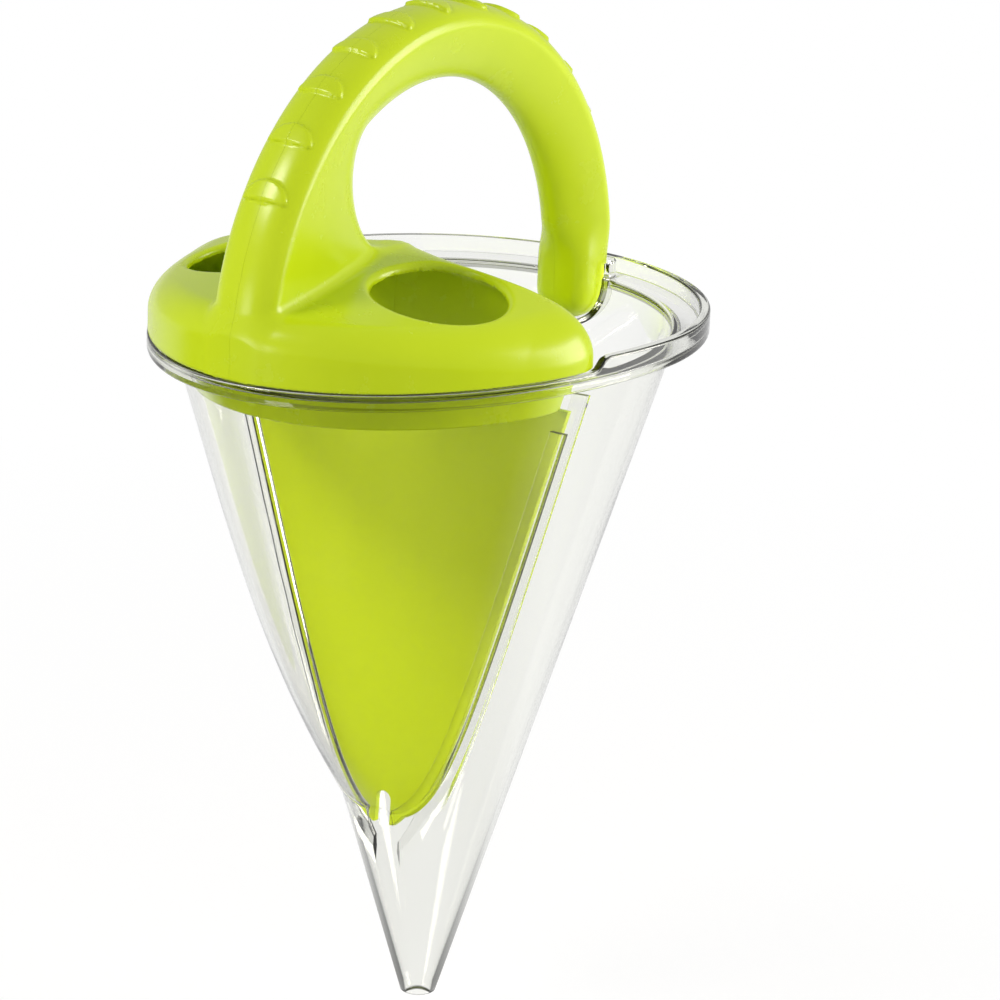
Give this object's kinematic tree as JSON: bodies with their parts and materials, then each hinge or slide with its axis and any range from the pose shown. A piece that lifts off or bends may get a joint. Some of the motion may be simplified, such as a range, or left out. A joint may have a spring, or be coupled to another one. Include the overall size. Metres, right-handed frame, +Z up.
{
  "type": "sand funnel",
  "caption": "Toy sand funnel: clear egg-mouthed cone with an open spout, and a lift-off green lid with filling holes, arched carrying handle and hanging partition plate.",
  "frame": {"origin": "on the spout's axis, in the plane of the collar's flat underside", "axes": "+Z up along the spout's axis, -Y towards the lid's front, X across, with the lid's parting plane at X = 0"},
  "size_m": [0.1458, 0.1785, 0.2978],
  "materials": {
    "clear_plastic": "clear, polished",
    "green_plastic_left": "glossy lime green",
    "green_plastic_right": "glossy lime green",
    "green_plastic_plate": "satin lime green"
  },
  "bodies": {
    "funnel": {"clear_funnel": "clear_plastic"},
    "lid_unit": {"lid_handle_left": "green_plastic_left", "lid_handle_right": "green_plastic_right", "partition_plate": "green_plastic_plate"}
  },
  "joints": [
    {"name": "lid_lift", "type": "slide", "parent": "funnel", "child": "lid_unit", "axis": [0, 0, 1], "range_m": [0, 0.165]}
  ]
}
